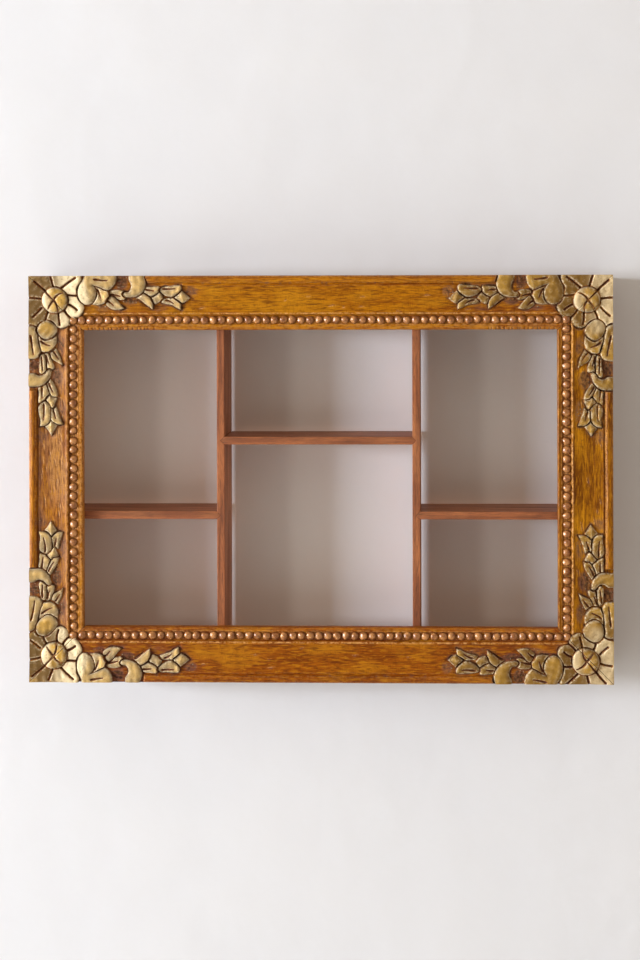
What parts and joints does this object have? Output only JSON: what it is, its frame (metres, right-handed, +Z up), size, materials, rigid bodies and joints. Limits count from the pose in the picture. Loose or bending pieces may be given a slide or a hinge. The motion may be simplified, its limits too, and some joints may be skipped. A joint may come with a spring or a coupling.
{
  "type": "trinket wall shelf",
  "caption": "Shallow wooden wall shelf with an open back, faced by a carved, part-gilded mitred frame with a row of beads, and divided by uprights and short shelves.",
  "frame": {"origin": "middle of the underside of the whole shelf's bounding box", "axes": "+X to the right seen from the front, -Y out of the carved front, +Y towards the wall, +Z up"},
  "size_m": [0.6, 0.092, 0.418],
  "materials": {
    "carved_frame_wood": "stained and waxed carved hardwood, carving gilded with aged gold paint",
    "box_wood": "stained hardwood boards, matt",
    "shelf_wood": "reddish stained hardwood, satin",
    "dowel_wood": "plain fluted beech",
    "plated_steel": "zinc-plated",
    "nail_steel": "dark oxidised"
  },
  "bodies": {
    "root": {"frame_top_rail": "carved_frame_wood", "frame_bottom_rail": "carved_frame_wood", "frame_left_stile": "carved_frame_wood", "frame_right_stile": "carved_frame_wood", "side_board_left": "box_wood", "side_board_right": "box_wood", "top_board": "box_wood", "bottom_board": "box_wood", "hanging_rail": "box_wood", "divider_left": "shelf_wood", "divider_right": "shelf_wood", "shelf_middle": "shelf_wood", "shelf_lower_left": "shelf_wood", "shelf_lower_right": "shelf_wood", "mitre_dowels": "dowel_wood", "keyhole_plate_left": "plated_steel", "keyhole_plate_right": "plated_steel", "hanger_screws": "plated_steel", "frame_brads": "nail_steel", "carcass_nails": "nail_steel"}
  },
  "joints": []
}
